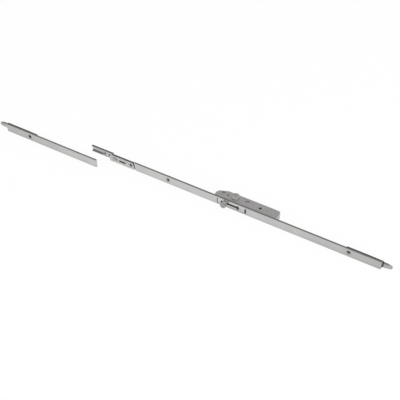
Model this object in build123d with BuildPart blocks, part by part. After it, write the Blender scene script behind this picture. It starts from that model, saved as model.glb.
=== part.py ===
from build123d import *
from math import acos, cos, pi, radians, sin, tan
import os

# A window espagnolette: gearbox, faceplate, two shoot bolts and a take-off extension.
# X runs along the faceplate, Y points back from it into the sash, Z is across its width.
# The origin is on the spindle's axis, halfway across. Lengths are in millimetres.

# Faceplate
plate_width = 16.0
plate_thickness = 2.8
plate_corner = 0.8
plate_edge = 0.3
plate_left = -184.5
plate_right = 252.0
plate_joint_slant = 3.4  # the left end is cut this much out of square
backset = 15.0  # faceplate's outer face to spindle axis

# Faceplate screws, countersunk
screw_radius = 2.25
screw_sink_radius = 4.1
left_screw_x = -118.0
guide_screw_inset = 5.0  # left end of the bolt guide to its screw
connector_screw_x = -190.9

# Window in the faceplate and its insert, with the slot for the cam
window_left = -25.2
window_right = 27.3
window_half_height = 5.2
insert_left_gap = 0.9
insert_right_gap = 3.1
insert_recess = 0.5
cam_slot_left = -19.0
cam_slot_right = 12.0
cam_slot_half_height = 2.1
cam_slot_end_height = 8.0
cam_slot_end_width = 4.6
insert_groove_width = 0.8
insert_groove_depth = 0.6

# Drive rods
rod_half_height = 4.6
rod_thickness = 2.0
rod_play = 0.3
slide_gap = 0.2
layer_gap = 0.3  # between the front rack and the leg that passes over it

# Hooked joints between rods, racks and bolts
tee_neck_length = 2.5
tee_head_length = 2.5
tee_neck_half = 1.2
tee_head_half = 2.6
tee_play = 0.05
left_joint_x = -56.0
right_joint_x = 102.0
screw_to_bolt_joint = 18.5

# Handle
turn_degrees = 90.0
spindle_square = 7.05
handle_screw_spacing = 43.0
handle_screw_radius = 2.75

# Gear teeth
tooth_module = 1.0
tooth_addendum = 0.8
tooth_dedendum = 1.0
pressure_angle = radians(25)
tooth_play = 0.12
follower_teeth_full = 16
follower_teeth = 7
reversing_teeth = 10
reversing_x = 46.0
leg_clearance = 1.5
leg_width = 7.0
sector_margin_degrees = 9.0

# Gearbox case
case_left = -32.7
case_right = 77.6
case_shoulder_depth = 15.5
case_slope_end_x = -15.0
rear_rack_back = 2.8
case_wall = 1.2
case_shoulder_radius = 8.0
case_slope_radius = 12.0
case_corner_radius = 4.5
case_edge = 0.4
post_wall = 1.15

# Follower and its bosses
journal_radius = 5.8
journal_play = 0.06
boss_wall = 1.35
boss_height = 2.5
lower_boss_height = 1.2
follower_sink = 0.3

# Rivets and axle
case_rivet_x = -11.9
case_rivet_depth = 13.0
case_rivet_radius = 1.5
axle_radius = 1.6
axle_play = 0.06
rivet_sink = 0.5
rivet_sink_margin = 0.6

# Mushroom cam
cam_x = -11.0
cam_height = 7.5
cam_neck_radius = 1.8
cam_tail_radius = 1.5
cam_tail_length = 2.4
cam_body_radius = 4.2
cam_head_radius = 5.2
cam_head_height = 2.9
cam_edge = 0.5
cam_play = 0.06
cam_gap = 0.3
cam_rivet_radius = 2.6
cam_rivet_height = 0.7

# Coupling channel and the plate on it
channel_left = -273.0
channel_mouth_right = -229.0
channel_right = -168.0
channel_tongue_half = 3.2
channel_wall = 1.0
connector_left = -233.2
connector_joint_gap = 1.2
connector_proud = 1.0
connector_inset = 0.8
connector_corner = 6.2
connector_edge = 0.6
connector_rivet_x = -223.8
connector_rivet_radius = 1.6
connector_head_radius = 3.7
connector_head_height = 0.7
connector_tail_radius = 2.6
connector_slit_x = -218.3
connector_slit_width = 1.3
connector_slit_height = 6.0
connector_window_left = -214.4
connector_window_right = -200.8
connector_window_height = 3.6
left_rod_end_x = -249.0

# Screw bush, and the headed studs that hold rods and channel to the faceplates
bush_wall = 0.75
bush_flange_thickness = 1.0
keeper_radius = 1.6
keeper_press = 1.5  # how deep the stud sits in the faceplate
keeper_head_radius = 3.4
keeper_head_thickness = 0.9
keeper_edge = 0.3
channel_keeper_x = -173.0
right_keeper_x = 141.0
extension_keeper_x = -300.0

# Shoot bolts and their guides
bolt_half_height = 4.0
bolt_thickness = 3.5
bolt_reach = 15.8
bolt_nose_radius = 3.4
bolt_nose_length = 6.0
bolt_bevel = 0.7
guide_length = 57.0
guide_inset = 2.0  # faceplate's edge to the guide's side
guide_thickness = 4.4
guide_taper_length = 20.0
guide_end_wall = 0.6
guide_proud = 1.0  # past the end of the faceplate
guide_bevel = 0.8
guide_peg_radius = 0.5
guide_peg_length = 1.5
guide_peg_inset = 9.0

# Extension, lying a little in front of the gear and off its end
extension_left = -435.5
extension_right = -242.8
extension_screw_inset = 13.5  # inner end of the extension's guide to its screw
extension_gap = 26.5
extension_guide_length = 64.0
extension_bolt_reach = 18.5

# Sizes worked out from those above
plate_half = plate_width / 2
tooth_pitch = pi * tooth_module
follower_pitch_radius = follower_teeth_full * tooth_module / 2
reversing_pitch_radius = reversing_teeth * tooth_module / 2
travel = follower_pitch_radius * radians(turn_degrees)
front_pitch_depth = backset - follower_pitch_radius
reversing_depth = front_pitch_depth + reversing_pitch_radius
rear_pitch_depth = reversing_depth + reversing_pitch_radius
rear_root_depth = rear_pitch_depth + tooth_dedendum
rear_back_depth = rear_root_depth + rear_rack_back
case_depth = rear_back_depth + rod_play + case_wall
rod_front = plate_thickness + rod_play
rod_back = rod_front + rod_thickness
slide_back = rod_back + slide_gap
guide_half = rod_half_height + slide_gap
guide_half_height = plate_half - guide_inset
guide_taper_half_height = guide_half + guide_end_wall
channel_half_height = guide_half + channel_wall
case_half_height = guide_half + case_wall
boss_top = case_half_height + boss_height
boss_bottom = -case_half_height - lower_boss_height
right_screw_x = plate_right - guide_length + guide_screw_inset
extension_screw_x = extension_left + extension_guide_length - extension_screw_inset


def behind(depth):
    # Y of a plane this far behind the faceplate's outer face
    return depth - backset


def facing(depth):
    # Sketch plane with X along the faceplate and Y across it, looking back
    return Plane.XZ.offset(-behind(depth))


def middle(left, right):
    return (left + right) / 2


def bar(left, right, half_height, mode=Mode.ADD):
    # A rectangle between two places along X, in the open sketch
    with Locations((middle(left, right), 0)):
        Rectangle(right - left, 2 * half_height, mode=mode)


def deep_bar(left, right, front, back):
    # A rectangle seen along the spindle, between two depths behind the faceplate
    with Locations((middle(left, right), behind(middle(front, back)))):
        Rectangle(right - left, back - front)


def tee(joint_x, direction, play=0.0, mode=Mode.ADD):
    # A tongue with a wider head, from the joint along X, or the slot it hooks into
    head_start = joint_x + direction * (tee_neck_length - play)
    head_end = joint_x + direction * (tee_neck_length + tee_head_length + play)
    with Locations((middle(joint_x, head_start), 0)):
        Rectangle(abs(head_start - joint_x), 2 * (tee_neck_half + play), mode=mode)
    with Locations((middle(head_start, head_end), 0)):
        Rectangle(abs(head_end - head_start), 2 * (tee_head_half + play), mode=mode)


def slide_slot(pin_x, pin_radius, direction):
    # The slot in a rod that moves this way past a fixed pin
    reach = pin_radius + rod_play
    with Locations((pin_x - direction * travel / 2, 0)):
        SlotOverall(travel + 2 * reach, 2 * reach, mode=Mode.SUBTRACT)


def involute(angle):
    return tan(angle) - angle


def tooth_half_angle(pitch_radius, radius):
    # Half of a tooth's angle at this radius, on its involute flank
    base_radius = pitch_radius * cos(pressure_angle)
    at_pitch = (tooth_pitch / 2 - tooth_play) / (2 * pitch_radius)
    return at_pitch + involute(pressure_angle) - involute(acos(min(1, base_radius / radius)))


def gear_tooth(pitch_radius):
    # One tooth on the X axis: radial below the base circle, involute above it
    base_radius = pitch_radius * cos(pressure_angle)
    tip_radius = pitch_radius + tooth_addendum
    root_radius = pitch_radius - tooth_dedendum
    middle_radius = middle(base_radius, tip_radius)

    def place(radius, angle):
        return (radius * cos(angle), radius * sin(angle))

    base_half = tooth_half_angle(pitch_radius, base_radius)
    middle_half = tooth_half_angle(pitch_radius, middle_radius)
    tip_half = tooth_half_angle(pitch_radius, tip_radius)
    inner_radius = min(root_radius, base_radius) - tooth_addendum
    with BuildSketch() as tooth:
        with BuildLine():
            Line(place(inner_radius, -base_half), place(base_radius, -base_half))
            ThreePointArc(
                place(base_radius, -base_half),
                place(middle_radius, -middle_half),
                place(tip_radius, -tip_half),
            )
            Line(place(tip_radius, -tip_half), place(tip_radius, tip_half))
            ThreePointArc(
                place(tip_radius, tip_half),
                place(middle_radius, middle_half),
                place(base_radius, base_half),
            )
            Line(place(base_radius, base_half), place(inner_radius, base_half))
            Line(place(inner_radius, base_half), place(inner_radius, -base_half))
        make_face()
    return tooth.sketch


def rack_tooth():
    # One straight-sided tooth pointing along Y, centred on its pitch line
    half = (tooth_pitch / 2 - tooth_play) / 2
    tip_half = half - tooth_addendum * tan(pressure_angle)
    root_half = half + tooth_dedendum * tan(pressure_angle)
    with BuildSketch() as tooth:
        with BuildLine():
            Polyline(
                (-root_half, -tooth_dedendum),
                (root_half, -tooth_dedendum),
                (tip_half, tooth_addendum),
                (-tip_half, tooth_addendum),
                close=True,
            )
        make_face()
    return tooth.sketch


def teeth_between(space_x, left, right):
    # Middles of the rack teeth between two places, with a space at space_x
    first = int((left - space_x) // tooth_pitch) + 1
    last = int((right - space_x) // tooth_pitch)
    return [space_x + (index - 0.5) * tooth_pitch for index in range(first + 1, last + 1)]


def make_case_sketch(inset):
    # The case's outline, rounded, or the same outline moved in by a wall
    with BuildSketch() as outline:
        with BuildLine():
            Polyline(
                (case_left, behind(plate_thickness)),
                (case_left, behind(case_shoulder_depth)),
                (case_slope_end_x, behind(case_depth)),
                (case_right, behind(case_depth)),
                (case_right, behind(plate_thickness)),
                close=True,
            )
        make_face()
        corners = outline.vertices()
        fillet(corners.sort_by(Axis.Y)[2], case_shoulder_radius)
        top = outline.vertices().group_by(Axis.Y)[-1]
        fillet(top.sort_by(Axis.X)[0], case_slope_radius)
        top = outline.vertices().group_by(Axis.Y)[-1]
        fillet(top.sort_by(Axis.X)[-1], case_corner_radius)
        if inset > 0:
            offset(amount=-inset, kind=Kind.INTERSECTION)
            with Locations((middle(case_left, case_right), behind(plate_thickness + inset))):
                Rectangle(case_right - case_left - 2 * inset, 2 * inset)
    return outline.sketch


def peg_places(left, length):
    # The pegs that hold a bolt guide to its faceplate, in pairs
    peg_z = middle(guide_half, guide_half_height)
    first = left + guide_peg_inset
    last = left + length - guide_taper_length
    return [(x, z) for x in (first, last) for z in (-peg_z, peg_z)]


def plate_outline(left, right, half_height, left_slant=0.0, right_slant=0.0):
    # A strip's outline in the open sketch, its lower corners further right by the slants
    Polygon(
        (left, half_height),
        (left + left_slant, -half_height),
        (right + right_slant, -half_height),
        (right, half_height),
        align=None,
    )


def make_faceplate(front, left, right, screws, pegs, studs, left_slant=0.0, window=None):
    # A faceplate with countersunk screw holes and blind holes for pegs and studs
    with BuildPart() as plate:
        with BuildSketch(facing(front)) as outline:
            plate_outline(left, right, plate_half, left_slant)
            fillet(outline.vertices(), plate_corner)
        extrude(amount=-plate_thickness)
        chamfer(plate.faces().sort_by(Axis.Y)[0].edges(), plate_edge)
        if window:
            with BuildSketch(facing(front)):
                bar(window[0], window[1], window_half_height)
            extrude(amount=-plate_thickness, mode=Mode.SUBTRACT)
        with Locations(facing(front)):
            with Locations(*[(x, 0) for x in screws]):
                CounterSinkHole(screw_radius, screw_sink_radius, depth=plate_thickness)
        with BuildSketch(facing(front + plate_thickness)):
            with Locations(*pegs):
                Circle(guide_peg_radius)
        extrude(amount=guide_peg_length, mode=Mode.SUBTRACT)
        with BuildSketch(facing(front + plate_thickness)):
            with Locations(*[(x, 0) for x in studs]):
                Circle(keeper_radius)
        extrude(amount=keeper_press, mode=Mode.SUBTRACT)
    return plate.part


def make_guide(front, left, length, bolt_end_x, exit_direction, screw_x):
    # A moulded block with a tunnel for rod and bolt, full height at its left end
    right = left + length
    with BuildPart() as guide:
        with BuildSketch(facing(front + plate_thickness)):
            with BuildLine():
                Polyline(
                    (left, -guide_half_height),
                    (right - guide_taper_length, -guide_half_height),
                    (right, -guide_taper_half_height),
                    (right, guide_taper_half_height),
                    (right - guide_taper_length, guide_half_height),
                    (left, guide_half_height),
                    close=True,
                )
            make_face()
        extrude(amount=-guide_thickness)
        back_edges = guide.faces().sort_by(Axis.Y)[-1].edges()
        chamfer(back_edges, guide_bevel)
        outer_x = right if exit_direction > 0 else left
        rod_entry_x = left if exit_direction > 0 else right
        rod_end_x = bolt_end_x + exit_direction * (tee_neck_length + tee_head_length + slide_gap)
        with BuildSketch(facing(front + plate_thickness)):
            with Locations((middle(rod_entry_x, rod_end_x), 0)):
                Rectangle(abs(rod_end_x - rod_entry_x), 2 * guide_half)
        extrude(amount=-(slide_back - plate_thickness), mode=Mode.SUBTRACT)
        inner_x = bolt_end_x - exit_direction * (travel + 2 * slide_gap)
        with BuildSketch(facing(front + plate_thickness)):
            with Locations((middle(inner_x, outer_x), 0)):
                Rectangle(abs(outer_x - inner_x), 2 * (bolt_half_height + slide_gap))
        tunnel_depth = rod_play + bolt_thickness + slide_gap
        extrude(amount=-tunnel_depth, mode=Mode.SUBTRACT)
        with Locations(facing(front)):
            with Locations((screw_x, 0)):
                Hole(screw_radius, depth=plate_thickness + guide_thickness)
        with BuildSketch(facing(front + plate_thickness)):
            with Locations(*peg_places(left, length)):
                Circle(guide_peg_radius)
        extrude(amount=guide_peg_length)
    return guide.part


def make_bolt(front, joint_x, end_x, direction):
    # A flat bolt with a tapered round nose, hooked to the end of its rod
    nose_x = end_x - direction * bolt_nose_radius
    shoulder_x = end_x - direction * bolt_nose_length
    with BuildPart() as bolt:
        with BuildSketch(facing(front + rod_front)):
            with Locations((middle(joint_x, shoulder_x), 0)):
                Rectangle(abs(shoulder_x - joint_x), 2 * bolt_half_height)
            with Locations((nose_x, 0)):
                Circle(bolt_nose_radius)
            make_hull()
        extrude(amount=-bolt_thickness)
        rim = bolt.faces().filter_by(Axis.Y).edges()
        nose_rim = rim.filter_by(lambda edge: direction * (edge.center().X - shoulder_x) > 0)
        chamfer(nose_rim, bolt_bevel)
        with BuildSketch(facing(front + rod_front)):
            tee(joint_x, direction, play=tee_play)
        extrude(amount=-(rod_thickness + tee_play), mode=Mode.SUBTRACT)
    return bolt.part


def make_keeper(front, x, head_front):
    # A headed stud pressed into the faceplate's back, through a slot in the rod
    with BuildPart() as keeper:
        with BuildSketch(facing(front + plate_thickness - keeper_press)):
            with Locations((x, 0)):
                Circle(keeper_radius)
        extrude(amount=-(head_front - plate_thickness + keeper_press))
        with BuildSketch(facing(front + head_front)):
            with Locations((x, 0)):
                Circle(keeper_head_radius)
        extrude(amount=-keeper_head_thickness)
        chamfer(keeper.faces().sort_by(Axis.Y)[-1].edges(), keeper_edge)
    return keeper.part


# Faceplate with the window for the cam's insert
main_guide_left = plate_right - guide_length
main_guide_length = guide_length + guide_proud
main_faceplate = make_faceplate(
    0,
    plate_left,
    plate_right,
    (left_screw_x, right_screw_x),
    peg_places(main_guide_left, main_guide_length),
    (channel_keeper_x, right_keeper_x),
    left_slant=plate_joint_slant,
    window=(window_left, window_right),
)

# Insert: slot with a wider end, and the fine groove beyond it
with BuildPart() as cam_slot_plate:
    with BuildSketch(facing(insert_recess)):
        bar(window_left + insert_left_gap, window_right - insert_right_gap, window_half_height)
        with Locations((middle(cam_slot_left, cam_slot_right), 0)):
            SlotOverall(
                cam_slot_right - cam_slot_left,
                2 * cam_slot_half_height,
                mode=Mode.SUBTRACT,
            )
        with Locations((cam_slot_right, 0)):
            SlotOverall(cam_slot_end_height, cam_slot_end_width, rotation=90, mode=Mode.SUBTRACT)
    extrude(amount=-(plate_thickness - insert_recess))
    with BuildSketch(facing(insert_recess)):
        with Locations((middle(cam_slot_right, window_right - insert_right_gap), 0)):
            Rectangle(window_right - insert_right_gap - cam_slot_right, insert_groove_width)
    extrude(amount=-insert_groove_depth, mode=Mode.SUBTRACT)

# Gearbox case: a cast tray with posts for the handle screws and the rivet
inner_half = case_half_height - case_wall
case_sketch = make_case_sketch(0)
cavity_sketch = make_case_sketch(case_wall)
handle_screws = [(-handle_screw_spacing / 2, 0), (handle_screw_spacing / 2, 0)]
case_rivet_place = (case_rivet_x, behind(case_rivet_depth))
axle_place = (reversing_x, behind(reversing_depth))
with BuildPart() as gearbox_case:
    with BuildSketch(Plane.XY.offset(-case_half_height)):
        add(case_sketch)
    extrude(amount=case_half_height + inner_half)
    outer_rim = gearbox_case.faces().sort_by(Axis.Z)[0].edges()
    chamfer(outer_rim.filter_by(lambda edge: edge.center().Y > behind(rod_back)), case_edge)
    with BuildSketch(Plane.XY.offset(-inner_half)):
        add(cavity_sketch)
    extrude(amount=2 * inner_half, mode=Mode.SUBTRACT)
    with BuildSketch(facing(plate_thickness)):
        bar(case_left - case_wall, case_right + case_wall, inner_half)
    extrude(amount=-(slide_back - plate_thickness), mode=Mode.SUBTRACT)
    with BuildSketch(Plane.XY.offset(-inner_half)):
        with Locations(*handle_screws):
            Circle(handle_screw_radius + post_wall)
        with Locations(case_rivet_place):
            Circle(case_rivet_radius + post_wall)
    extrude(amount=2 * inner_half)
    with BuildSketch(Plane.XY.offset(-case_half_height)):
        Circle(journal_radius + journal_play + boss_wall)
    extrude(amount=boss_bottom + case_half_height)
    with Locations((0, 0, 0)):
        Hole(journal_radius + journal_play)
    with Locations(*handle_screws):
        Hole(handle_screw_radius)
    with Locations(case_rivet_place):
        Hole(case_rivet_radius)
    with Locations(axle_place):
        Hole(axle_radius)

# Lid of the gearbox with the boss around the spindle
with BuildPart() as gearbox_cover:
    with BuildSketch(Plane.XY.offset(inner_half)):
        add(case_sketch)
    extrude(amount=case_wall)
    cover_rim = gearbox_cover.faces().sort_by(Axis.Z)[-1].edges()
    chamfer(cover_rim.filter_by(lambda edge: edge.center().Y > behind(rod_back)), case_edge)
    with BuildSketch(Plane.XY.offset(case_half_height)):
        Circle(journal_radius + journal_play + boss_wall)
    extrude(amount=boss_top - case_half_height)
    boss_rim = gearbox_cover.faces().sort_by(Axis.Z)[-1].edges()
    chamfer(boss_rim, case_edge)
    with Locations((0, 0, 0)):
        Hole(journal_radius + journal_play)
    with Locations(*[(x, y, case_half_height) for x, y in handle_screws]):
        Hole(handle_screw_radius)
    with Locations((*case_rivet_place, case_half_height)):
        CounterBoreHole(case_rivet_radius, case_rivet_radius + rivet_sink_margin, rivet_sink)
    with Locations((*axle_place, case_half_height)):
        CounterBoreHole(axle_radius, axle_radius + rivet_sink_margin, rivet_sink)

# Rivet through case and cover
with BuildPart() as case_rivet:
    with BuildSketch(Plane.XY.offset(-case_half_height)):
        with Locations(case_rivet_place):
            Circle(case_rivet_radius)
    extrude(amount=2 * case_half_height - rivet_sink)

# Axle of the reversing pinion
with BuildPart() as reversing_axle:
    with BuildSketch(Plane.XY.offset(-case_half_height)):
        with Locations(axle_place):
            Circle(axle_radius)
    extrude(amount=2 * case_half_height - rivet_sink)

# Follower: a sector of teeth on a hub that turns in both bosses
follower_tooth = gear_tooth(follower_pitch_radius)
tooth_step = 360 / follower_teeth_full
first_tooth_angle = -90 + tooth_step
last_tooth_angle = first_tooth_angle - (follower_teeth - 1) * tooth_step
sector_start = radians(last_tooth_angle - sector_margin_degrees)
sector_end = radians(first_tooth_angle + sector_margin_degrees)
follower_root_radius = follower_pitch_radius - tooth_dedendum
with BuildPart() as follower_pinion:
    with BuildSketch(Plane.XY.offset(-rod_half_height)):
        Circle(journal_radius)
        with BuildLine():
            sector_arc = ThreePointArc(
                (follower_root_radius * cos(sector_start), follower_root_radius * sin(sector_start)),
                (
                    follower_root_radius * cos(middle(sector_start, sector_end)),
                    follower_root_radius * sin(middle(sector_start, sector_end)),
                ),
                (follower_root_radius * cos(sector_end), follower_root_radius * sin(sector_end)),
            )
            Line(sector_arc @ 1, (0, 0))
            Line((0, 0), sector_arc @ 0)
        make_face()
        with PolarLocations(
            0,
            follower_teeth,
            start_angle=last_tooth_angle,
            angular_range=first_tooth_angle - last_tooth_angle,
            endpoint=True,
        ):
            add(follower_tooth)
    extrude(amount=2 * rod_half_height)
    with BuildSketch(Plane.XY.offset(boss_bottom + follower_sink)):
        Circle(journal_radius)
    extrude(amount=boss_top - boss_bottom - 2 * follower_sink)
    with BuildSketch(Plane.XY.offset(boss_bottom)):
        Rectangle(spindle_square, spindle_square)
    extrude(amount=boss_top - boss_bottom, mode=Mode.SUBTRACT)

# Reversing pinion, its tooth in the front rack's space nearest to its axle
front_space_x = round(reversing_x / tooth_pitch) * tooth_pitch
reversing_shift = front_space_x - reversing_x
reversing_phase = reversing_shift / reversing_pitch_radius * 180 / pi
reversing_tooth = gear_tooth(reversing_pitch_radius)
with BuildPart() as reversing_pinion:
    with BuildSketch(Plane.XY.offset(-rod_half_height)):
        with Locations(axle_place):
            Circle(reversing_pitch_radius - tooth_dedendum)
            with PolarLocations(0, reversing_teeth, start_angle=-90 + reversing_phase):
                add(reversing_tooth)
            Circle(axle_radius + axle_play, mode=Mode.SUBTRACT)
    extrude(amount=2 * rod_half_height)

# Front rack: teeth for both pinions, and a flat neck out to the left drive rod
mesh_reach = 2 * tooth_pitch
front_rack_left = -travel - mesh_reach
front_rack_right = reversing_x + mesh_reach
front_teeth = teeth_between(0, front_rack_left, front_rack_right)
rack_half_tooth = tooth_pitch / 2
front_bar_left = front_teeth[0] - rack_half_tooth
front_bar_right = front_teeth[-1] + rack_half_tooth
front_root_depth = front_pitch_depth - tooth_dedendum
layer_start_x = middle(handle_screw_spacing / 2, reversing_x)
left_foot_x = left_joint_x - tee_neck_length
with BuildPart() as front_rack:
    with BuildSketch(Plane.XY.offset(-rod_half_height)):
        deep_bar(front_bar_left, front_bar_right, rod_front, front_root_depth)
        with Locations(*[(x, behind(front_pitch_depth)) for x in front_teeth]):
            add(rack_tooth())
    extrude(amount=2 * rod_half_height)
    with BuildSketch(facing(rod_front)):
        bar(left_joint_x, front_bar_left, rod_half_height)
        tee(left_joint_x, 1, play=tee_play, mode=Mode.SUBTRACT)
    extrude(amount=-rod_thickness)
    with BuildSketch(Plane.XY.offset(-layer_gap / 2)):
        deep_bar(layer_start_x, front_bar_right, 0, reversing_depth)
    extrude(amount=2 * rod_half_height, mode=Mode.SUBTRACT)
    with Locations(facing(rod_front)):
        with Locations((cam_x, 0)):
            Hole(cam_tail_radius, depth=cam_tail_length)

# Rear rack: teeth towards the spindle side, and a leg over the front rack to the right rod
rear_space_x = reversing_x - reversing_shift
rear_rack_right = reversing_x + travel + mesh_reach
rear_teeth = teeth_between(rear_space_x, reversing_x - mesh_reach, rear_rack_right)
rear_bar_left = rear_teeth[0] - rack_half_tooth
leg_left = reversing_x + travel + reversing_pitch_radius + tooth_addendum + leg_clearance
leg_right = leg_left + leg_width
foot_left = case_right + travel / 2
with BuildPart() as rear_rack:
    with BuildSketch(Plane.XY.offset(-rod_half_height)):
        deep_bar(rear_bar_left, leg_right, rear_root_depth, rear_back_depth)
        with Locations(*[(x, behind(rear_pitch_depth)) for x in rear_teeth]):
            add(rack_tooth(), rotation=180)
    extrude(amount=2 * rod_half_height)
    with BuildSketch(Plane.XY.offset(layer_gap / 2)):
        deep_bar(leg_left, leg_right, rod_front, rear_back_depth)
        deep_bar(leg_left, foot_left, rod_front, rod_back)
    extrude(amount=rod_half_height - layer_gap / 2)
    with BuildSketch(facing(rod_front)):
        bar(foot_left, right_joint_x, rod_half_height)
        tee(right_joint_x, -1, play=tee_play, mode=Mode.SUBTRACT)
    extrude(amount=-rod_thickness)

# Left drive rod, from the coupling's end to the front rack
with BuildPart() as left_drive_rod:
    with BuildSketch(facing(rod_front)):
        bar(left_rod_end_x, left_joint_x, rod_half_height)
        tee(left_joint_x, 1)
        tee(left_rod_end_x, 1, play=tee_play, mode=Mode.SUBTRACT)
        slide_slot(connector_rivet_x, connector_rivet_radius, 1)
        slide_slot(connector_screw_x, screw_radius, 1)
        slide_slot(channel_keeper_x, keeper_radius, 1)
        slide_slot(left_screw_x, screw_radius + bush_wall, 1)
    extrude(amount=-rod_thickness)

# Right drive rod, from the rear rack to the shoot bolt
main_bolt_joint_x = right_screw_x + screw_to_bolt_joint
with BuildPart() as right_drive_rod:
    with BuildSketch(facing(rod_front)):
        bar(right_joint_x, main_bolt_joint_x, rod_half_height)
        tee(right_joint_x, -1)
        tee(main_bolt_joint_x, 1)
        slide_slot(right_keeper_x, keeper_radius, -1)
        slide_slot(right_screw_x, screw_radius, -1)
    extrude(amount=-rod_thickness)

# Mushroom cam: a roller on a stud that is set into the front rack
with BuildPart() as cam_stud:
    with BuildSketch(facing(rod_front + cam_tail_length)):
        with Locations((cam_x, 0)):
            Circle(cam_tail_radius)
    extrude(amount=cam_tail_length)
    with BuildSketch(facing(rod_front)):
        with Locations((cam_x, 0)):
            Circle(cam_neck_radius)
    extrude(amount=rod_front + cam_height)
    with BuildSketch(facing(-cam_height)):
        with Locations((cam_x, 0)):
            Circle(cam_rivet_radius)
    extrude(amount=-cam_rivet_height)

cam_head_front = -cam_height
cam_head_back = cam_head_front + cam_head_height
cam_back = insert_recess - cam_gap
with BuildPart() as cam_roller:
    with BuildSketch(facing(cam_back)):
        with Locations((cam_x, 0)):
            Circle(cam_body_radius)
    extrude(amount=cam_back - cam_head_back)
    with BuildSketch(facing(cam_head_back)):
        with Locations((cam_x, 0)):
            Circle(cam_head_radius)
    extrude(amount=cam_head_height)
    round_edges = cam_roller.edges().filter_by(GeomType.CIRCLE)
    chamfer(round_edges.filter_by(lambda edge: edge.radius > cam_body_radius), cam_edge)
    with Locations(facing(cam_head_front)):
        with Locations((cam_x, 0)):
            CounterBoreHole(
                cam_neck_radius + cam_play,
                cam_rivet_radius + cam_gap,
                cam_rivet_height + cam_gap,
            )

# Coupling channel, open towards the front; its web goes on behind the rod as a tongue
channel_back = slide_back + channel_wall
with BuildPart() as coupling_channel:
    with BuildSketch(facing(plate_thickness)):
        bar(channel_left, channel_mouth_right, channel_half_height)
    extrude(amount=-(channel_back - plate_thickness))
    with BuildSketch(facing(plate_thickness)):
        bar(channel_left, channel_mouth_right, guide_half)
    extrude(amount=-(slide_back - plate_thickness), mode=Mode.SUBTRACT)
    with BuildSketch(facing(slide_back)):
        bar(channel_mouth_right, channel_right, channel_tongue_half)
    extrude(amount=-channel_wall)
    channel_holes = [
        (connector_rivet_x, connector_rivet_radius),
        (connector_screw_x, screw_radius),
        (channel_keeper_x, keeper_radius),
    ]
    for hole_x, hole_radius in channel_holes:
        with Locations(facing(slide_back)):
            with Locations((hole_x, 0)):
                Hole(hole_radius, depth=channel_wall)

# Cast clamp plate on the channel, a little prouder than the faceplate beside it
connector_right = plate_left - connector_joint_gap
connector_front = -connector_proud
connector_thickness = plate_thickness + connector_proud
connector_half_height = plate_half - connector_inset
with BuildPart() as connector_plate:
    with BuildSketch(facing(connector_front)) as connector_outline:
        plate_outline(
            connector_left,
            connector_right,
            connector_half_height,
            right_slant=plate_joint_slant * connector_half_height / plate_half,
        )
        left_corners = connector_outline.vertices().sort_by(Axis.X)[:2]
        fillet(left_corners.sort_by(Axis.Y)[-1], connector_corner)
        fillet(connector_outline.vertices().group_by(Axis.Y)[0], plate_corner)
    extrude(amount=-connector_thickness)
    chamfer(connector_plate.faces().sort_by(Axis.Y)[0].edges(), plate_edge)
    back_edges = connector_plate.faces().sort_by(Axis.Y)[-1].edges()
    chamfer(back_edges.filter_by(Axis.X), connector_edge)
    with BuildSketch(facing(connector_front)):
        with Locations((middle(connector_window_left, connector_window_right), 0)):
            SlotOverall(
                connector_window_right - connector_window_left,
                connector_window_height,
            )
        with Locations((connector_slit_x, 0)):
            Rectangle(connector_slit_width, connector_slit_height)
    extrude(amount=-connector_thickness, mode=Mode.SUBTRACT)
    with Locations(facing(connector_front)):
        with Locations((connector_screw_x, 0)):
            CounterSinkHole(screw_radius, screw_sink_radius, depth=connector_thickness)
        with Locations((connector_rivet_x, 0)):
            Hole(connector_rivet_radius, depth=connector_thickness)

# Rivet that ties the plate to the channel, through a slot in the rod
with BuildPart() as connector_rivet:
    with BuildSketch(facing(connector_front)):
        with Locations((connector_rivet_x, 0)):
            Circle(connector_head_radius)
    extrude(amount=connector_head_height)
    chamfer(connector_rivet.faces().sort_by(Axis.Y)[0].edges(), connector_head_height / 2)
    with BuildSketch(facing(connector_front)):
        with Locations((connector_rivet_x, 0)):
            Circle(connector_rivet_radius)
    extrude(amount=-(channel_back + connector_proud))
    with BuildSketch(facing(channel_back)):
        with Locations((connector_rivet_x, 0)):
            Circle(connector_tail_radius)
    extrude(amount=-connector_head_height)

# Sleeve on which the left rod slides, behind the left screw hole
with BuildPart() as screw_bush:
    with BuildSketch(facing(plate_thickness)):
        with Locations((left_screw_x, 0)):
            Circle(screw_radius + bush_wall)
    extrude(amount=-(slide_back - plate_thickness))
    with BuildSketch(facing(slide_back)):
        with Locations((left_screw_x, 0)):
            Circle(rod_half_height)
    extrude(amount=-bush_flange_thickness)
    with Locations(facing(plate_thickness)):
        with Locations((left_screw_x, 0)):
            Hole(screw_radius)

channel_keeper = make_keeper(0, channel_keeper_x, channel_back)
right_rod_keeper = make_keeper(0, right_keeper_x, slide_back)
bolt_guide = make_guide(
    0,
    main_guide_left,
    main_guide_length,
    main_bolt_joint_x,
    1,
    right_screw_x,
)
shoot_bolt = make_bolt(0, main_bolt_joint_x, plate_right + bolt_reach, 1)

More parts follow.
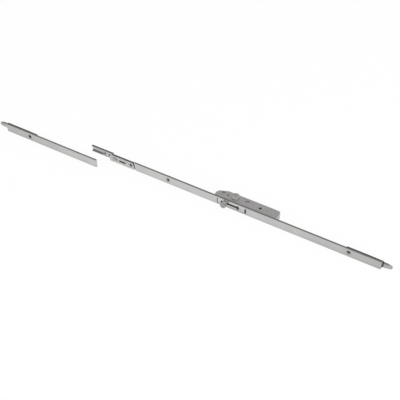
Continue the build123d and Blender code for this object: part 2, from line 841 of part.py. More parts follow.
# Extension: faceplate, rod, guide and bolt, taken off the coupling
extension_front = -extension_gap
extension_joint_x = extension_screw_x - screw_to_bolt_joint
extension_guide_left = extension_left - guide_proud
extension_guide_full = extension_guide_length + guide_proud
coupled_gap = connector_left - left_rod_end_x
extension_rod_end_x = extension_right - coupled_gap
extension_faceplate = make_faceplate(
    extension_front,
    extension_left,
    extension_right,
    (extension_screw_x,),
    peg_places(extension_guide_left, extension_guide_full),
    (extension_keeper_x,),
)
with BuildPart() as extension_rod:
    with BuildSketch(facing(extension_front + rod_front)):
        bar(extension_joint_x, extension_rod_end_x, rod_half_height)
        tee(extension_joint_x, -1)
        tee(extension_rod_end_x, 1)
        slide_slot(extension_keeper_x, keeper_radius, 1)
        slide_slot(extension_screw_x, screw_radius, 1)
    extrude(amount=-rod_thickness)
extension_rod_keeper = make_keeper(extension_front, extension_keeper_x, slide_back)
extension_bolt_guide = make_guide(
    extension_front,
    extension_guide_left,
    extension_guide_full,
    extension_joint_x,
    -1,
    extension_screw_x,
)
extension_bolt = make_bolt(
    extension_front,
    extension_joint_x,
    extension_left - extension_bolt_reach,
    -1,
)

os.makedirs("parts", exist_ok=True)
pieces = {
    "main_faceplate": main_faceplate,
    "cam_slot_plate": cam_slot_plate.part,
    "gearbox_case": gearbox_case.part,
    "gearbox_cover": gearbox_cover.part,
    "case_rivet": case_rivet.part,
    "reversing_axle": reversing_axle.part,
    "follower_pinion": follower_pinion.part,
    "reversing_pinion": reversing_pinion.part,
    "front_rack": front_rack.part,
    "rear_rack": rear_rack.part,
    "left_drive_rod": left_drive_rod.part,
    "right_drive_rod": right_drive_rod.part,
    "cam_stud": cam_stud.part,
    "cam_roller": cam_roller.part,
    "coupling_channel": coupling_channel.part,
    "connector_plate": connector_plate.part,
    "connector_rivet": connector_rivet.part,
    "screw_bush": screw_bush.part,
    "channel_keeper": channel_keeper,
    "right_rod_keeper": right_rod_keeper,
    "bolt_guide": bolt_guide,
    "shoot_bolt": shoot_bolt,
    "extension_faceplate": extension_faceplate,
    "extension_rod": extension_rod.part,
    "extension_rod_keeper": extension_rod_keeper,
    "extension_bolt_guide": extension_bolt_guide,
    "extension_bolt": extension_bolt,
}
for name, piece in pieces.items():
    piece.label = name
    export_step(piece, f"parts/{name}.step")
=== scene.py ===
from math import radians

import bpy
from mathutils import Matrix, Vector


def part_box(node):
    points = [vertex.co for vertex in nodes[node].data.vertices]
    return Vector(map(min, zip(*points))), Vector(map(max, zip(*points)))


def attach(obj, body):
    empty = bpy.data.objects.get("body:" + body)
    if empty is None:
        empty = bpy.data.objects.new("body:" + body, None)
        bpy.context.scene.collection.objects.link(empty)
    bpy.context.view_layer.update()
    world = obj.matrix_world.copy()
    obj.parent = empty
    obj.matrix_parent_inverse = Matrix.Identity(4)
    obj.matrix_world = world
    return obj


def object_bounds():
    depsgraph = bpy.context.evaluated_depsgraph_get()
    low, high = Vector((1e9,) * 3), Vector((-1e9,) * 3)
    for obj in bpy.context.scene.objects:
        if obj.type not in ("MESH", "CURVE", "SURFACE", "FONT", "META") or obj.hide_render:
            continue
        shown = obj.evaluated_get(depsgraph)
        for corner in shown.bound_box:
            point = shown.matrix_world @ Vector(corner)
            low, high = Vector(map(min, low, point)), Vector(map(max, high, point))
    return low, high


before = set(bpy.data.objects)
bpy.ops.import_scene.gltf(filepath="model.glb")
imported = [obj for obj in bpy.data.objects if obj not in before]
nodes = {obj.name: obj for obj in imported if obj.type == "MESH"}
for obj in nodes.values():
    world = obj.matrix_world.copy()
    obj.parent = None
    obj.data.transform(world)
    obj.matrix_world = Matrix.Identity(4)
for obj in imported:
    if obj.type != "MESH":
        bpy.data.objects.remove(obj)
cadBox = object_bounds()  # the solids' box, before anything is added
print("frame loaded:", len(nodes), "nodes")

mm = 0.001


# Materials

def linearColour(hexText):
    channels = [int(hexText[start:start + 2], 16) / 255 for start in (1, 3, 5)]
    return (*[c / 12.92 if c <= 0.04045 else ((c + 0.055) / 1.055) ** 2.4 for c in channels], 1.0)


def addNode(tree, kind, settings, output=0):
    # A setting goes to the input of its name or number, or else to the node itself. A socket is
    # linked, and a hex text given to an input becomes a colour. One of the outputs comes back
    node = tree.nodes.new("ShaderNode" + kind)
    for name, value in settings.items():
        if isinstance(value, bpy.types.NodeSocket):
            tree.links.new(value, node.inputs[name])
        elif isinstance(name, int) or name in node.inputs:
            isHexText = isinstance(value, str)
            node.inputs[name].default_value = linearColour(value) if isHexText else value
        else:
            setattr(node, name, value)
    return node.outputs[output] if node.outputs else None


def startMaterial(name):
    # An empty material, its nodes, and the place on the piece in metres
    material = bpy.data.materials.new(name)
    material.use_nodes = True
    tree = material.node_tree
    tree.nodes.clear()
    return material, tree, addNode(tree, "TexCoord", {}, "Object")


def closeMaterial(tree, colour, roughness, height, look):
    # The shader, with the values that are the same all over set on its own sockets
    bump = addNode(tree, "Bump", {
        "Strength": look["bump"], "Distance": look["bumpDepth"], "Height": height})
    shader = addNode(tree, "BsdfPrincipled", {
        "Metallic": look["metallic"], "Base Color": colour, "Roughness": roughness, "Normal": bump})
    addNode(tree, "OutputMaterial", {"Surface": shader})


grainRange = {"From Min": 0.3, "From Max": 0.7}  # nearly all of a noise's values lie in it


def grainPattern(tree, place, sizes, detail=2.0, roughness=0.5):
    # Noise whose grain has these sizes along x, y and z, in metres
    stretched = addNode(tree, "Mapping", {"Scale": [1 / size for size in sizes], "Vector": place})
    return addNode(tree, "TexNoise", {
        "Scale": 1.0, "Detail": detail, "Roughness": roughness, "Vector": stretched})


def longSides(tree, place, start, end):
    # 0 on a flat piece's face and 1 on its two long sides, by the distance from its middle
    up = addNode(tree, "SeparateXYZ", {0: place}, "Z")
    away = addNode(tree, "Math", {"operation": "ABSOLUTE", 0: up})
    return addNode(tree, "MapRange", {"Value": away, "From Min": start, "From Max": end})


def fadeAlong(tree, place, axis, start, end, most=1.0):
    # This much before start along one axis, and nothing past end
    along = addNode(tree, "SeparateXYZ", {0: place}, axis)
    return addNode(tree, "MapRange", {
        "Value": along, "From Min": start, "From Max": end, "To Min": most, "To Max": 0.0})


wallBlend = 0.03 * mm  # how softly the finish of a hole's wall ends at its rim


def roundWall(tree, flatPlace, middle, reach):
    # 1 up to this reach from a hole's middle, which takes in its wall, and 0 beyond
    away = addNode(tree, "VectorMath", {"operation": "DISTANCE", 0: flatPlace, 1: middle}, "Value")
    return addNode(tree, "MapRange", {
        "Value": away, "From Min": reach, "From Max": reach + wallBlend,
        "To Min": 1.0, "To Max": 0.0})


def holeShadeWalls(tree, place, holes):
    # 1 on the walls of round holes through a plate, each a place along X and a reach, 0 elsewhere:
    # where painted shade goes
    flatPlace = addNode(tree, "VectorMath", {"operation": "MULTIPLY", 0: place, 1: (1, 0, 1)})
    walls = 0.0
    for x, reach in holes:
        wall = roundWall(tree, flatPlace, (x, 0, 0), reach)
        walls = addNode(tree, "Math", {"operation": "MAXIMUM", 0: walls, 1: wall})
    return walls


def slitShadeWalls(tree, place, slit):
    # 1 on the walls of an upright slit through a plate, where painted shade goes, and 0 elsewhere
    centred = addNode(tree, "VectorMath", {
        "operation": "SUBTRACT", 0: place, 1: (slit["x"], 0, 0)})
    away = addNode(tree, "VectorMath", {"operation": "ABSOLUTE", 0: centred})
    across, up = [fadeAlong(tree, away, axis, slit[half], slit[half] + wallBlend)
                  for axis, half in (("X", "halfWidth"), ("Z", "halfHeight"))]
    return addNode(tree, "Math", {"operation": "MULTIPLY", 0: across, 1: up})


# Cold-rolled steel strip, zinc plated in a barrel and clear passivated: an even pale grey
# with faint lines from the rolls, slightly cloudy. Its slit edges are rougher, and the plating
# on them is dull and darker. The walls of its screw holes are painted dark grey as painted shade,
# and the lower third of its face is painted a little darker, as a painted reflection of the shadow on
# the floor
stripLook = {
    "colour": "#d1d1ce", "cloudColour": "#c6c7c7", "edgeColour": "#8b8b89",
    "cloudSize": 24 * mm,
    "lineLength": 60 * mm, "lineAmount": 0.35,
    "lineSpacing": 0.7 * mm,  # real roll lines are 0.1 mm apart, too fine to show
    # The lower band's darkening is a painted reflection of the floor's shadow
    "reflectedShadowNone": -1.0 * mm, "reflectedShadowFull": -6.0 * mm, "reflectedShadow": 0.12,
    "roughLow": 0.30, "roughHigh": 0.44, "edgeRough": 0.5,
    "edgeStart": 7.70 * mm, "edgeEnd": 7.95 * mm, "edgePatch": 9 * mm, "patchLow": 0.8,
    # Painted shade: the screw holes' walls are coloured dark grey
    "holes": ((-385.0 * mm, 3.1 * mm), (-118.0 * mm, 2.35 * mm), (200.0 * mm, 2.35 * mm)),
    "holeShadeColour": "#4e4d4c",
    "metallic": 1.0, "bump": 0.25, "bumpDepth": 0.03 * mm,
}


def stripSurface(tree, place, look):
    # Colour, roughness and height of rolled strip
    lines = grainPattern(tree, place, (look["lineLength"], look["lineSpacing"], look["lineSpacing"]))
    clouds = grainPattern(tree, place, [look["cloudSize"]] * 3, detail=3.0)
    patches = grainPattern(tree, place, [look["edgePatch"]] * 3, detail=3.0)

    cloudy = addNode(tree, "MapRange", {"Value": clouds, **grainRange})
    plain = addNode(tree, "Mix", {
        "data_type": "RGBA", 0: cloudy, 6: look["colour"], 7: look["cloudColour"]}, 2)
    rolled = addNode(tree, "MapRange", {"Value": lines, **grainRange, "To Max": look["lineAmount"]})
    lined = addNode(tree, "Mix", {
        "data_type": "RGBA", 0: rolled, 6: plain, 7: look["cloudColour"]}, 2)

    sides = longSides(tree, place, look["edgeStart"], look["edgeEnd"])
    patchy = addNode(tree, "MapRange", {"Value": patches, **grainRange, "To Min": look["patchLow"]})
    edge = addNode(tree, "Math", {"operation": "MULTIPLY", 0: sides, 1: patchy})
    # Painted reflection of the floor's shadow: darker towards the bottom of the face, joined with the
    # dull edges
    floorShadowBand = fadeAlong(tree, place, "Z", look["reflectedShadowFull"], look["reflectedShadowNone"], look["reflectedShadow"])
    edgesAndShadow = addNode(tree, "Math", {"operation": "MAXIMUM", 0: edge, 1: floorShadowBand})
    colour = addNode(tree, "Mix", {
        "data_type": "RGBA", 0: edgesAndShadow, 6: lined, 7: look["edgeColour"]}, 2)

    faceRough = addNode(tree, "MapRange", {
        "Value": lines, **grainRange, "To Min": look["roughLow"], "To Max": look["roughHigh"]})
    edgeRough = addNode(tree, "Math", {"operation": "MULTIPLY", 0: edge, 1: look["edgeRough"]})
    rough = addNode(tree, "Math", {"operation": "MAXIMUM", 0: faceRough, 1: edgeRough})
    return colour, rough, lines


def rolledZincPlatedSteel(name, look):
    material, tree, place = startMaterial(name)
    colour, rough, lines = stripSurface(tree, place, look)
    # Painted shade on the walls of the screw holes
    walls = holeShadeWalls(tree, place, look["holes"])
    colour = addNode(tree, "Mix", {
        "data_type": "RGBA", 0: walls, 6: colour, 7: look["holeShadeColour"]}, 2)
    closeMaterial(tree, colour, rough, lines, look)
    return material


# Zinc alloy, pressure die cast and tumbled: a greyer, satin skin with soft mottling from the
# die and a fine grain from the tumbling stones
castLook = {
    "colour": "#d2d0cf", "mottleColour": "#c2c1c1",
    "mottleSize": 7 * mm, "grainSize": 0.5 * mm,  # the real grain is 0.15 mm, too fine to show
    "roughLow": 0.40, "roughHigh": 0.56,
    "metallic": 1.0, "bump": 0.3, "bumpDepth": 0.03 * mm,
}


def castSurface(tree, place, look):
    # Colour, roughness and height of the cast skin
    mottle = grainPattern(tree, place, [look["mottleSize"]] * 3, detail=4.0, roughness=0.6)
    grain = grainPattern(tree, place, [look["grainSize"]] * 3)
    mottled = addNode(tree, "MapRange", {"Value": mottle, **grainRange})
    colour = addNode(tree, "Mix", {
        "data_type": "RGBA", 0: mottled, 6: look["colour"], 7: look["mottleColour"]}, 2)
    rough = addNode(tree, "MapRange", {
        "Value": mottle, **grainRange, "To Min": look["roughLow"], "To Max": look["roughHigh"]})
    return colour, rough, grain


def darkFlanks(tree, place, colour, look):
    # The darker cast skin left on a flat piece's long sides
    sides = longSides(tree, place, look["sideStart"], look["sideEnd"])
    return addNode(tree, "Mix", {
        "data_type": "RGBA", 0: sides, 6: colour, 7: look["sideColour"]}, 2)


# The follower is cast, its journals and its square broached bright
followerLook = {**castLook, "colour": "#e2e0df", "mottleColour": "#d8d6d5",
                "roughLow": 0.18, "roughHigh": 0.28}


def broachedCastZinc(name, look):
    material, tree, place = startMaterial(name)
    closeMaterial(tree, *castSurface(tree, place, look), look)
    return material


# The gearbox's two shells are drilled for the handle's screws after casting, which leaves
# smooth bright walls in the holes
boreLook = {"holeX": 21.5 * mm, "reach": 2.80 * mm, "colour": "#c4c3c2", "rough": 0.22}


def drilledCastZinc(name, look, bore):
    material, tree, place = startMaterial(name)
    colour, rough, grain = castSurface(tree, place, look)
    # Folded along the middle, so that the left hole lies on the right one
    folded = addNode(tree, "VectorMath", {"operation": "ABSOLUTE", 0: place})
    flatPlace = addNode(tree, "VectorMath", {"operation": "MULTIPLY", 0: folded, 1: (1, 1, 0)})
    drilled = roundWall(tree, flatPlace, (bore["holeX"], 0, 0), bore["reach"])
    colour = addNode(tree, "Mix", {
        "data_type": "RGBA", 0: drilled, 6: colour, 7: bore["colour"]}, 2)
    skinRough = addNode(tree, "Math", {"operation": "SUBTRACT", 0: rough, 1: drilled})
    rough = addNode(tree, "Math", {"operation": "MAXIMUM", 0: skinRough, 1: bore["rough"]})
    closeMaterial(tree, colour, rough, grain, look)
    return material


# The clamp plate's face is ground flat after casting, and its sides keep the darker cast skin. The
# walls of its screw hole and slit are painted dark, as painted shade
clampLook = {
    **castLook, "colour": "#d6d4d3", "mottleColour": "#c8c7c6",
    "sideColour": "#7f7e7c", "sideStart": 6.85 * mm, "sideEnd": 7.05 * mm,
    # Painted shade: the walls of the screw hole and the slit are coloured dark
    "holes": ((-190.9 * mm, 2.35 * mm),), "holeShadeColour": "#4e4d4c",
    "slit": {"x": -218.3 * mm, "halfWidth": 0.70 * mm, "halfHeight": 3.05 * mm},
    "slitShadeColour": "#1f1e1d",
}


def groundCastZinc(name, look):
    material, tree, place = startMaterial(name)
    colour, rough, grain = castSurface(tree, place, look)
    colour = darkFlanks(tree, place, colour, look)
    # Painted shade on the walls of the screw hole and the slit
    for walls, wallShadeColour in ((holeShadeWalls(tree, place, look["holes"]), look["holeShadeColour"]),
                              (slitShadeWalls(tree, place, look["slit"]), look["slitShadeColour"])):
        colour = addNode(tree, "Mix", {"data_type": "RGBA", 0: walls, 6: colour, 7: wallShadeColour}, 2)
    closeMaterial(tree, colour, rough, grain, look)
    return material


# The bolts are cast and left as tumbled, greyer than the ground clamp plate, with the darker skin
# on their flanks. The main gear's bolt is painted darker at its root, where it enters its guide, as
# painted shade
boltLook = {
    **castLook, "colour": "#d3d2d1", "mottleColour": "#c7c6c6",
    "sideColour": "#a09f9d", "sideStart": 3.55 * mm, "sideEnd": 3.90 * mm,
    # Painted shade at the bolt's root, in the gap where it enters its guide
    "rootShadeColour": "#6a6967", "rootShadeStart": 254.2 * mm, "rootShadeEnd": 255.0 * mm,
}


def tumbledBoltZinc(name, look, rootShaded):
    material, tree, place = startMaterial(name)
    colour, rough, grain = castSurface(tree, place, look)
    colour = darkFlanks(tree, place, colour, look)
    # Painted shade at the root of the main gear's bolt
    if rootShaded:
        rootShade = fadeAlong(tree, place, "X", look["rootShadeStart"], look["rootShadeEnd"])
        colour = addNode(tree, "Mix", {
            "data_type": "RGBA", 0: rootShade, 6: colour, 7: look["rootShadeColour"]}, 2)
    closeMaterial(tree, colour, rough, grain, look)
    return material


# Steel powder, pressed and sintered, oiled: dark grey with small pores
sinterLook = {
    "colour": "#8d8b88", "poreColour": "#4a4846",
    "poreSize": 0.6 * mm,  # real pores are 0.1 mm, too fine to show
    "poreCore": 0.12, "poreRim": 0.3,  # parts of the pores' spacing
    "roughLow": 0.38, "roughHigh": 0.62,
    "metallic": 1.0, "bump": 0.5, "bumpDepth": 0.05 * mm,
}


def sinteredOiledSteel(name, look):
    material, tree, place = startMaterial(name)
    pores = addNode(tree, "TexVoronoi", {"Scale": 1 / look["poreSize"], "Vector": place})
    solid = addNode(tree, "MapRange", {
        "Value": pores, "From Min": look["poreCore"], "From Max": look["poreRim"]})
    colour = addNode(tree, "Mix", {
        "data_type": "RGBA", 0: solid, 6: look["poreColour"], 7: look["colour"]}, 2)
    rough = addNode(tree, "MapRange", {
        "Value": solid, "To Min": look["roughHigh"], "To Max": look["roughLow"]})
    closeMaterial(tree, colour, rough, solid, look)
    return material


# Free-cutting steel, turned and zinc plated: fine rings round the piece's own axis
turnedLook = {
    "colour": "#bcbbb8", "ringColour": "#a09f9d",
    "ringSpacing": 0.5 * mm,  # the tool's feed is 0.1 mm, too fine to show
    "ringWander": 0.6,
    "roughLow": 0.24, "roughHigh": 0.40,
    "metallic": 1.0, "bump": 0.3, "bumpDepth": 0.02 * mm,
}
# The axle is coloured near black, the rivet's and the stud's are bare
axleLook = {**turnedLook, "colour": "#4d4c4a", "ringColour": "#403f3d"}
rivetLook = {**turnedLook, "colour": "#9a9997", "ringColour": "#868583"}
studLook = {**turnedLook, "colour": "#b0afac", "ringColour": "#9f9e9b",
            "roughLow": 0.38, "roughHigh": 0.5}

ringLength = 0.314  # metres from ring to ring in a wave texture of scale 1


def turnedSurface(tree, place, look, axis, centre):
    # Colour, roughness and height, with the rings round this axis ("Y" or "Z") through this point
    centred = addNode(tree, "Mapping", {"Location": [-c for c in centre], "Vector": place})
    rings = addNode(tree, "TexWave", {
        "wave_type": "RINGS", "rings_direction": axis, "Scale": ringLength / look["ringSpacing"],
        "Distortion": look["ringWander"], "Detail": 1.0, "Vector": centred}, 1)
    colour = addNode(tree, "Mix", {
        "data_type": "RGBA", 0: rings, 6: look["colour"], 7: look["ringColour"]}, 2)
    rough = addNode(tree, "MapRange", {
        "Value": rings, "To Min": look["roughLow"], "To Max": look["roughHigh"]})
    return colour, rough, rings


def turnedPlatedSteel(name, look, axis, centre):
    material, tree, place = startMaterial(name)
    closeMaterial(tree, *turnedSurface(tree, place, look, axis, centre), look)
    return material


# The mushroom is zinc plated and satin. Its body behind the head's front is painted much lighter than
# the head, as painted light on its shaded top and neck
camPaintedLightLook = {
    # colour is the body's, lifted as painted light; headColour is the plain colour of the head's front
    **turnedLook, "colour": "#f0efec", "ringColour": "#e4e3e0",
    "headColour": "#bebdba", "headFront": -20.4 * mm, "headBack": -19.6 * mm,
    "roughLow": 0.46, "roughHigh": 0.58,
}


def camSteelPaintedLight(name, look, centre):
    material, tree, place = startMaterial(name)
    colour, rough, rings = turnedSurface(tree, place, look, "Y", centre)
    # Painted light: everything behind the head's front takes the lighter body colour
    head = fadeAlong(tree, place, "Y", look["headFront"], look["headBack"])
    colour = addNode(tree, "Mix", {
        "data_type": "RGBA", 0: head, 6: colour, 7: look["headColour"]}, 2)
    closeMaterial(tree, colour, rough, rings, look)
    return material


# Polyamide 6 with short glass fibres, injection moulded: near black, satin, with pale fibre
# flecks along the flow
polyamideLook = {
    "colour": "#242322", "fleckColour": "#3f3e3b",
    "fleckLength": 2.5 * mm, "fleckWidth": 0.4 * mm,  # real fibres are 0.3 by 0.01 mm, too fine to show
    "fleckRim": 0.5, "fleckCore": 0.75,  # values of the noise
    "roughLow": 0.42, "roughHigh": 0.6,
    "metallic": 0.0, "bump": 0.3, "bumpDepth": 0.03 * mm,
}


def glassFilledPolyamide(name, look):
    material, tree, place = startMaterial(name)
    sizes = (look["fleckLength"], look["fleckWidth"], look["fleckWidth"])
    flecks = grainPattern(tree, place, sizes, detail=3.0)
    pale = addNode(tree, "MapRange", {
        "Value": flecks, "From Min": look["fleckRim"], "From Max": look["fleckCore"]})
    colour = addNode(tree, "Mix", {
        "data_type": "RGBA", 0: pale, 6: look["colour"], 7: look["fleckColour"]}, 2)
    rough = addNode(tree, "MapRange", {
        "Value": flecks, **grainRange, "To Min": look["roughLow"], "To Max": look["roughHigh"]})
    closeMaterial(tree, colour, rough, flecks, look)
    return material


# The insert is cut from a brighter strip than the faceplate's
insertLook = {**stripLook, "holes": (), "colour": "#dadad8", "cloudColour": "#d0d1d0"}
# The channel is bent from the faceplate's strip; its bent and sheared flanks are duller
channelLook = {**stripLook, "holes": (), "edgeColour": "#7d7d7b",
               "edgeStart": 5.5 * mm, "edgeEnd": 5.8 * mm, "edgePatch": 90 * mm}
# The rods are painted dark grey, as painted shade for where they show through the slots, and
# lighter along their long edges
rodShadeLook = {
    **stripLook, "holes": (), "colour": "#6e6d6b", "cloudColour": "#5c5b5a", "edgeColour": "#8f8e8c",
    "edgeStart": 4.2 * mm, "edgeEnd": 4.6 * mm, "roughLow": 0.36, "roughHigh": 0.5,
}
# The left rod shows its real zinc plated colour at its coupling end, which fades along it
# into the painted dark shade
exposedRod = {"start": -234 * mm, "end": -186 * mm}


def rodWithPaintedShade(name, dark, bright, exposed):
    material, tree, place = startMaterial(name)
    colour, rough, lines = stripSurface(tree, place, dark)
    plated = stripSurface(tree, place, bright)[0]
    # The painted dark shade fades out towards the coupling end, where the real plated colour shows
    plating = fadeAlong(tree, place, "X", exposed["start"], exposed["end"])
    colour = addNode(tree, "Mix", {"data_type": "RGBA", 0: plating, 6: colour, 7: plated}, 2)
    closeMaterial(tree, colour, rough, lines, dark)
    return material


strip = rolledZincPlatedSteel("zincPlatedStrip", stripLook)
insertStrip = rolledZincPlatedSteel("brightPlatedInsert", insertLook)
# Rods painted dark as painted shade, for where they show through the slots
rodShadeStrip = rolledZincPlatedSteel("rodPaintedShade", rodShadeLook)
leftRodShadeStrip = rodWithPaintedShade("rodPaintedShadePlatedEnd", rodShadeLook, stripLook, exposedRod)
channelStrip = rolledZincPlatedSteel("bentPlatedStrip", channelLook)
castZinc = drilledCastZinc("tumbledCastZincDrilled", castLook, boreLook)
clampZinc = groundCastZinc("groundCastZinc", clampLook)
boltZinc = tumbledBoltZinc("rootShadedBoltZinc", boltLook, True)
extensionBoltZinc = tumbledBoltZinc("tumbledBoltZinc", boltLook, False)
followerZinc = broachedCastZinc("broachedCastZinc", followerLook)
sintered = sinteredOiledSteel("sinteredOiledSteel", sinterLook)
polyamide = glassFilledPolyamide("glassFilledPolyamide", polyamideLook)


def centreOf(name):
    return [(low + high) / 2 for low, high in zip(*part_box(name))]


turned = {  # node: its look and the axis that it was turned round
    "cam_stud": (studLook, "Y"), "connector_rivet": (turnedLook, "Y"),
    "case_rivet": (rivetLook, "Z"), "reversing_axle": (axleLook, "Z"),
    "channel_keeper": (turnedLook, "Y"), "right_rod_keeper": (turnedLook, "Y"),
    "extension_rod_keeper": (turnedLook, "Y"),
}
turnedSteel = {name: turnedPlatedSteel("turned_" + name, look, axis, centreOf(name))
               for name, (look, axis) in turned.items()}
camSteel = camSteelPaintedLight("camSteelPaintedLight", camPaintedLightLook, centreOf("cam_roller"))

guides = ("bolt_guide", "extension_bolt_guide")
finishes = {
    camSteel: ("cam_roller",),
    strip: ("main_faceplate", "extension_faceplate"),
    channelStrip: ("coupling_channel",),
    insertStrip: ("cam_slot_plate",),
    rodShadeStrip: ("right_drive_rod", "extension_rod", "screw_bush"),
    leftRodShadeStrip: ("left_drive_rod",),
    castZinc: ("gearbox_case", "gearbox_cover"),
    clampZinc: ("connector_plate",),
    followerZinc: ("follower_pinion",),
    boltZinc: ("shoot_bolt",),
    extensionBoltZinc: ("extension_bolt",),
    sintered: ("reversing_pinion", "front_rack", "rear_rack"),
    polyamide: guides,
    **{steel: (name,) for name, steel in turnedSteel.items()},
}
for material, names in finishes.items():
    for name in names:
        for slot in nodes[name].material_slots:
            slot.material = material
print("materials given to", sum(len(names) for names in finishes.values()), "nodes")


# Small pieces

def selectFaces(piece, test):
    # Edit mode, with only the faces selected that pass the test
    bpy.ops.object.mode_set(mode="EDIT")
    bpy.ops.mesh.select_mode(type="FACE")
    bpy.ops.mesh.select_all(action="DESELECT")
    bpy.ops.object.mode_set(mode="OBJECT")
    for face in piece.data.polygons:
        face.select = test(face)
    bpy.ops.object.mode_set(mode="EDIT")


def steppedDisc(name, steps, sides=40):
    # A disc 1 mm in radius and 1 mm high that stands on the origin. Each step insets the last
    # step's face by its first number and lifts it by its second
    bpy.ops.object.select_all(action="DESELECT")
    bpy.ops.mesh.primitive_cylinder_add(
        vertices=sides, radius=1 * mm, depth=1 * mm, location=(0, 0, 0.5 * mm))
    disc = bpy.context.object
    disc.name = name
    bpy.ops.object.transform_apply(location=True, rotation=True, scale=True)
    selectFaces(disc, lambda face: face.normal.z > 0.9)
    for inset, lift in steps:
        bpy.ops.mesh.inset(thickness=inset)
        bpy.ops.transform.translate(value=(0, 0, lift))
    bpy.ops.object.mode_set(mode="OBJECT")
    return disc


facing = {"up": 0, "down": 180, "back": -90}  # degrees round X, for a piece made facing up
castFinish = (castZinc, "cast_zinc")
guideFinish = (polyamide, "dark_polyamide")


def placeCopy(model, name, spot, radius, height, turn, finish):
    # A copy with its own mesh, sized, turned and put in place, with its origin at the world's
    piece = model.copy()
    piece.data = model.data.copy()
    piece.name = name
    bpy.context.collection.objects.link(piece)
    piece.scale = (radius / mm, radius / mm, height / mm)
    piece.rotation_euler = (radians(turn), 0, 0)
    piece.location = spot
    bpy.ops.object.select_all(action="DESELECT")
    piece.select_set(True)
    bpy.context.view_layer.objects.active = piece
    bpy.ops.object.transform_apply(location=True, rotation=True, scale=True)
    material, slot = finish
    piece.data.materials.clear()
    piece.data.materials.append(material)
    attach(piece, "gear_frame")


def discard(model):
    bpy.data.objects.remove(model, do_unlink=True)


def guideBack(guide, part, z=0.0):
    # A point on the guide's back, at this part of its length from its tall end
    low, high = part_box(guide)
    return (low[0] + part * (high[0] - low[0]), high[1], z)


# Ends of the case's rivet and of the axle, closed by a turning punch: a low button with a
# dimple in its middle
buttonHead = {"topHeight": 0.42 * mm, "lowHeight": 0.3 * mm, "overlap": 0.45 * mm,
              "rim": 0.3 * mm, "rise": 0.12 * mm, "dimple": 0.34 * mm, "dimpleDepth": 0.6 * mm}

button = steppedDisc("buttonHead", ((buttonHead["rim"], buttonHead["rise"]),
                                    (buttonHead["dimple"], -buttonHead["dimpleDepth"])))
for name in ("case_rivet", "reversing_axle"):
    low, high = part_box(name)
    x, y = centreOf(name)[:2]
    radius = (high[0] - low[0]) / 2 + buttonHead["overlap"]
    pinFinish = (turnedSteel[name], "pin_steel")
    placeCopy(button, name + "_top_button", (x, y, high[2]), radius, buttonHead["topHeight"],
              facing["up"], pinFinish)
    placeCopy(button, name + "_low_button", (x, y, low[2]), radius, buttonHead["lowHeight"],
              facing["down"], pinFinish)
discard(button)
print("rivet and axle buttons placed")


# Round marks that the mould's ejector pins leave: a thin raised rim round a flat
ejector = {"rim": 0.14 * mm, "sink": 0.6 * mm, "height": 0.07 * mm}
caseMarks = {"radius": 2.2 * mm, "underside": -6.0 * mm,
             "under": [(-24, -6), (12, -8.5), (33, 4), (33, -9), (61, 4), (61, -9)],  # mm along X and Y
             "back": [2, 31, 60]}  # mm along X
guideMarks = {"radius": 1.3 * mm, "places": [0.36, 0.58, 0.8]}  # parts of the guide's length

mark = steppedDisc("ejectorMark", ((ejector["rim"], -ejector["sink"]),))
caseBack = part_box("gearbox_case")[1][1]
for number, (x, y) in enumerate(caseMarks["under"], 1):
    placeCopy(mark, f"case_under_mark_{number}", (x * mm, y * mm, caseMarks["underside"]),
              caseMarks["radius"], ejector["height"], facing["down"], castFinish)
for number, x in enumerate(caseMarks["back"], 1):
    placeCopy(mark, f"case_back_mark_{number}", (x * mm, caseBack, 0),
              caseMarks["radius"], ejector["height"], facing["back"], castFinish)
for guide in guides:
    for number, part in enumerate(guideMarks["places"], 1):
        placeCopy(mark, f"{guide}_mark_{number}", guideBack(guide, part),
                  guideMarks["radius"], ejector["height"], facing["back"], guideFinish)
discard(mark)
print("ejector marks placed")


# Gates where the melt came in: a broken scar on the cast case, and a small cut stub on each
# moulded guide
scarGate = {"x": 17 * mm, "length": 9 * mm, "width": 1.6 * mm, "height": 0.18 * mm,
            "cuts": 6, "roughness": 0.06 * mm, "seed": 3}
stubGate = {"radius": 0.75 * mm, "height": 0.22 * mm, "sides": 24,
            "rim": 0.25 * mm, "rise": 0.3 * mm,
            "part": 0.47, "z": 2.8 * mm}  # part of the guide's length

bpy.ops.object.select_all(action="DESELECT")
bpy.ops.mesh.primitive_cube_add(size=1, location=(scarGate["x"], caseBack + scarGate["height"] / 2, 0))
scar = bpy.context.object
scar.name = "case_gate_scar"
scar.scale = (scarGate["length"], scarGate["height"], scarGate["width"])
bpy.ops.object.transform_apply(location=True, rotation=True, scale=True)
selectFaces(scar, lambda face: face.normal.y > 0.9)
bpy.ops.mesh.subdivide(number_cuts=scarGate["cuts"])
bpy.ops.transform.vertex_random(offset=scarGate["roughness"], seed=scarGate["seed"])
bpy.ops.object.mode_set(mode="OBJECT")
scar.data.materials.append(castZinc)
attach(scar, "gear_frame")

stub = steppedDisc("gateStub", ((stubGate["rim"], stubGate["rise"]),), stubGate["sides"])
for guide in guides:
    placeCopy(stub, guide + "_gate_stub", guideBack(guide, stubGate["part"], stubGate["z"]),
              stubGate["radius"], stubGate["height"], facing["back"], guideFinish)
discard(stub)
print("gates placed")


# Floor, backdrop and light

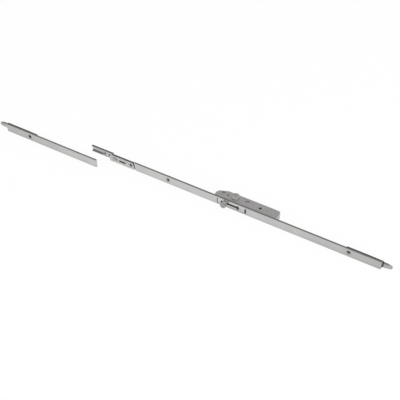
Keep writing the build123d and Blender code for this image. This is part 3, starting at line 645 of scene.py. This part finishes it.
studio = {
    "floorSize": 12.0, "floorGap": 0.05 * mm,
    "wallRadius": 3.0, "wallHeight": 1.3, "wallSides": 96,
    "paper": "#f7f7f7", "shown": 0.93,  # the part of the paper that is white for the camera
    # A painted patch of light on the floor's white, seen only in reflections
    "paintedLightPool": {"middle": -0.10, "reach": 0.40, "fall": 0.26},  # metres along X, and the share lost
    "worldColour": "#bababa", "worldStrength": 1.0,
    "lamps": {  # place, what it points at, width, height, watts, whether metal mirrors it
        "keyLamp": ((1.9, -1.6, 1.0), (0, 0, 0), 1.6, 0.9, 24, False),
        "fillLamp": ((-1.2, -2.2, 1.5), (-0.1, 0, 0), 1.8, 1.2, 20, False),
        "topLamp": ((0.6, -0.4, 2.4), (0, 0, 0), 1.6, 1.6, 14, True),
        "endLamp": ((2.2, 0.5, 0.5), (0.05, 0, 0), 1.0, 0.8, 22, False),
    },
}


def studioPaper(name, colour, shown, paintedLightPool):
    # Diffuse, so that it keeps a shadow, and white for the camera and for what mirrors it
    material, tree, place = startMaterial(name)
    cameraRay, glossyRay, passingRay = [addNode(tree, "LightPath", {}, f"Is {ray} Ray")
                                        for ray in ("Camera", "Glossy", "Transmission")]
    mirrored = addNode(tree, "Math", {"operation": "MAXIMUM", 0: glossyRay, 1: passingRay})
    seen = addNode(tree, "Math", {"operation": "MAXIMUM", 0: cameraRay, 1: mirrored})
    amount = addNode(tree, "Math", {"operation": "MULTIPLY", 0: seen, 1: shown})
    # The floor's white is painted brighter over the gear's left half as a painted patch of light, so
    # that metal mirrors a duller floor near its ends
    along = addNode(tree, "SeparateXYZ", {0: place}, "X")
    away = addNode(tree, "Math", {"operation": "SUBTRACT", 0: along, 1: paintedLightPool["middle"]})
    squared = addNode(tree, "Math", {"operation": "MULTIPLY", 0: away, 1: away})
    paintedLightFalloff = addNode(tree, "MapRange", {
        "Value": squared, "From Max": paintedLightPool["reach"] ** 2,
        "To Min": 1.0, "To Max": 1.0 - paintedLightPool["fall"]})
    strength = addNode(tree, "Math", {"operation": "MAXIMUM", 0: cameraRay, 1: paintedLightFalloff})
    paper = addNode(tree, "BsdfDiffuse", {"Color": colour})
    white = addNode(tree, "Emission", {"Color": (1, 1, 1, 1), "Strength": strength})
    both = addNode(tree, "MixShader", {0: amount, 1: paper, 2: white})
    addNode(tree, "OutputMaterial", {"Surface": both})
    return material


floorHeight = cadBox[0][2] - studio["floorGap"]
bpy.ops.object.select_all(action="DESELECT")
bpy.ops.mesh.primitive_plane_add(size=studio["floorSize"], location=(0, 0, floorHeight))
floor = bpy.context.object
floor.name = "floor"
bpy.ops.mesh.primitive_cylinder_add(
    vertices=studio["wallSides"], radius=studio["wallRadius"], depth=studio["wallHeight"],
    end_fill_type="NOTHING", location=(0, 0, floorHeight + studio["wallHeight"] / 2))
backdrop = bpy.context.object
backdrop.name = "backdrop"
paper = studioPaper("studioPaper", studio["paper"], studio["shown"], studio["paintedLightPool"])
for stagePiece in (floor, backdrop):
    stagePiece.data.materials.append(paper)

world = bpy.data.worlds.new("studioWorld")
bpy.context.scene.world = world
world.use_nodes = True
background = world.node_tree.nodes["Background"]
background.inputs["Color"].default_value = linearColour(studio["worldColour"])
background.inputs["Strength"].default_value = studio["worldStrength"]

for lampName, (spot, target, width, height, power, mirrored) in studio["lamps"].items():
    light = bpy.data.lights.new(lampName, "AREA")
    light.shape, light.size, light.size_y, light.energy = "RECTANGLE", width, height, power
    lamp = bpy.data.objects.new(lampName, light)
    bpy.context.collection.objects.link(lamp)
    lamp.location = spot
    lamp.visible_glossy = mirrored
    lamp.rotation_euler = (Vector(target) - Vector(spot)).to_track_quat("-Z", "Y").to_euler()
print("studio ready")


# The photograph's view, fitted to the main gear's edges and holes
view = {"place": (0.39769, -0.79369, 0.87458), "turn": (45.3636, 0.1042, 30.1589),
        "lens": 70.0, "sensor": 36.0}

cameraData = bpy.data.cameras.new("camera")
cameraData.lens, cameraData.sensor_width = view["lens"], view["sensor"]
camera = bpy.data.objects.new("camera", cameraData)
bpy.context.collection.objects.link(camera)
camera.location = view["place"]
camera.rotation_euler = [radians(angle) for angle in view["turn"]]
bpy.context.scene.camera = camera
bpy.context.scene.view_settings.view_transform = "Standard"
